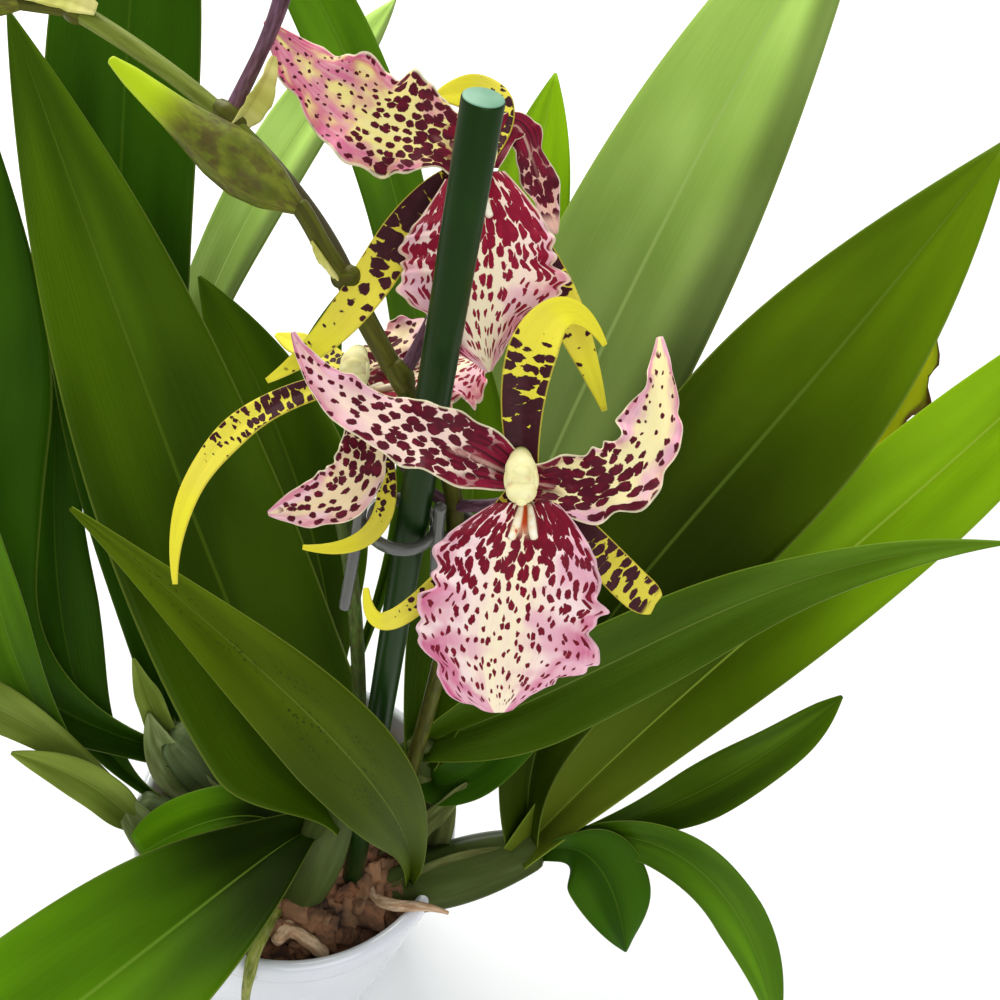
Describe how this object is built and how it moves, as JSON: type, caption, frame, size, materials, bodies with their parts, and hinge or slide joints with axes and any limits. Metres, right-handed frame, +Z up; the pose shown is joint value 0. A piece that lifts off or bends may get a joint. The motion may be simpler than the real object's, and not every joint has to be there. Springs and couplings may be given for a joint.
{
  "type": "potted orchid",
  "caption": "Potted orchid with arching strap leaves and a staked spike of spotted yellow and wine-red blooms with frilled pink lips, in a round white glazed pot.",
  "frame": {"origin": "centre of the flat underside of the pot", "axes": "+Z up along the pot's axis; -Y towards the side that the blooms face; +X to the right seen from there"},
  "size_m": [0.3844, 0.423, 0.4293],
  "materials": {
    "leaf": "satin",
    "leaf_bright": "satin",
    "leaf_pale": "satin",
    "bulb": "satin",
    "stem": "satin",
    "bud": "satin",
    "tepal": "satin",
    "lip": "satin",
    "column": "satin",
    "root_pale": "matte",
    "root_green": "satin",
    "bark": "matte",
    "pot": "gloss",
    "stake": "satin",
    "clip": "satin"
  },
  "bodies": {
    "root": {"stake": "stake", "bulb_front": "bulb", "bulb_right": "bulb", "bulb_centre": "bulb", "bulb_left": "bulb", "bulb_back_left": "bulb", "bulb_back": "bulb", "flower_stem": "stem", "clip": "clip", "stem_cut": "stem", "bud_big": "bud", "bud_left": "bud", "bud_top": "bud", "bloom_front_column": "column", "bloom_front_tepals": "tepal", "bloom_front_lip": "lip", "bloom_upper_column": "column", "bloom_upper_tepals": "tepal", "bloom_upper_lip": "lip", "bloom_side_column": "column", "bloom_side_tepals": "tepal", "bloom_side_lip": "lip", "leaf_front_diagonal": "leaf", "leaf_front_left_wide": "leaf_bright", "leaf_tall_left": "leaf", "leaf_right_big": "leaf", "leaf_right_long": "leaf", "leaf_right_bright": "leaf_bright", "leaf_right_pale": "leaf_pale", "leaf_back_left_dark": "leaf", "leaf_far_left": "leaf", "leaf_low_left_bright": "leaf_bright", "leaf_left_inner_dark": "leaf", "leaf_left_spread": "leaf_bright", "leaf_left_short": "leaf_bright", "leaf_middle_dark": "leaf", "leaf_middle_small": "leaf", "leaf_back_pale": "leaf_pale", "leaf_back_centre": "leaf", "leaf_back_small": "leaf_bright", "leaf_right_yellowing": "leaf_pale", "leaf_right_pointed": "leaf", "leaf_right_drooping": "leaf_bright", "leaf_right_hanging": "leaf", "leaf_low_back": "leaf", "leaf_young": "leaf_bright", "leaf_behind_bloom": "leaf", "root_pale_over_rim": "root_pale", "root_green_hanging": "root_green", "root_stub": "root_pale", "root_tip_round": "root_pale", "bark": "bark", "pot": "pot"}
  },
  "joints": []
}
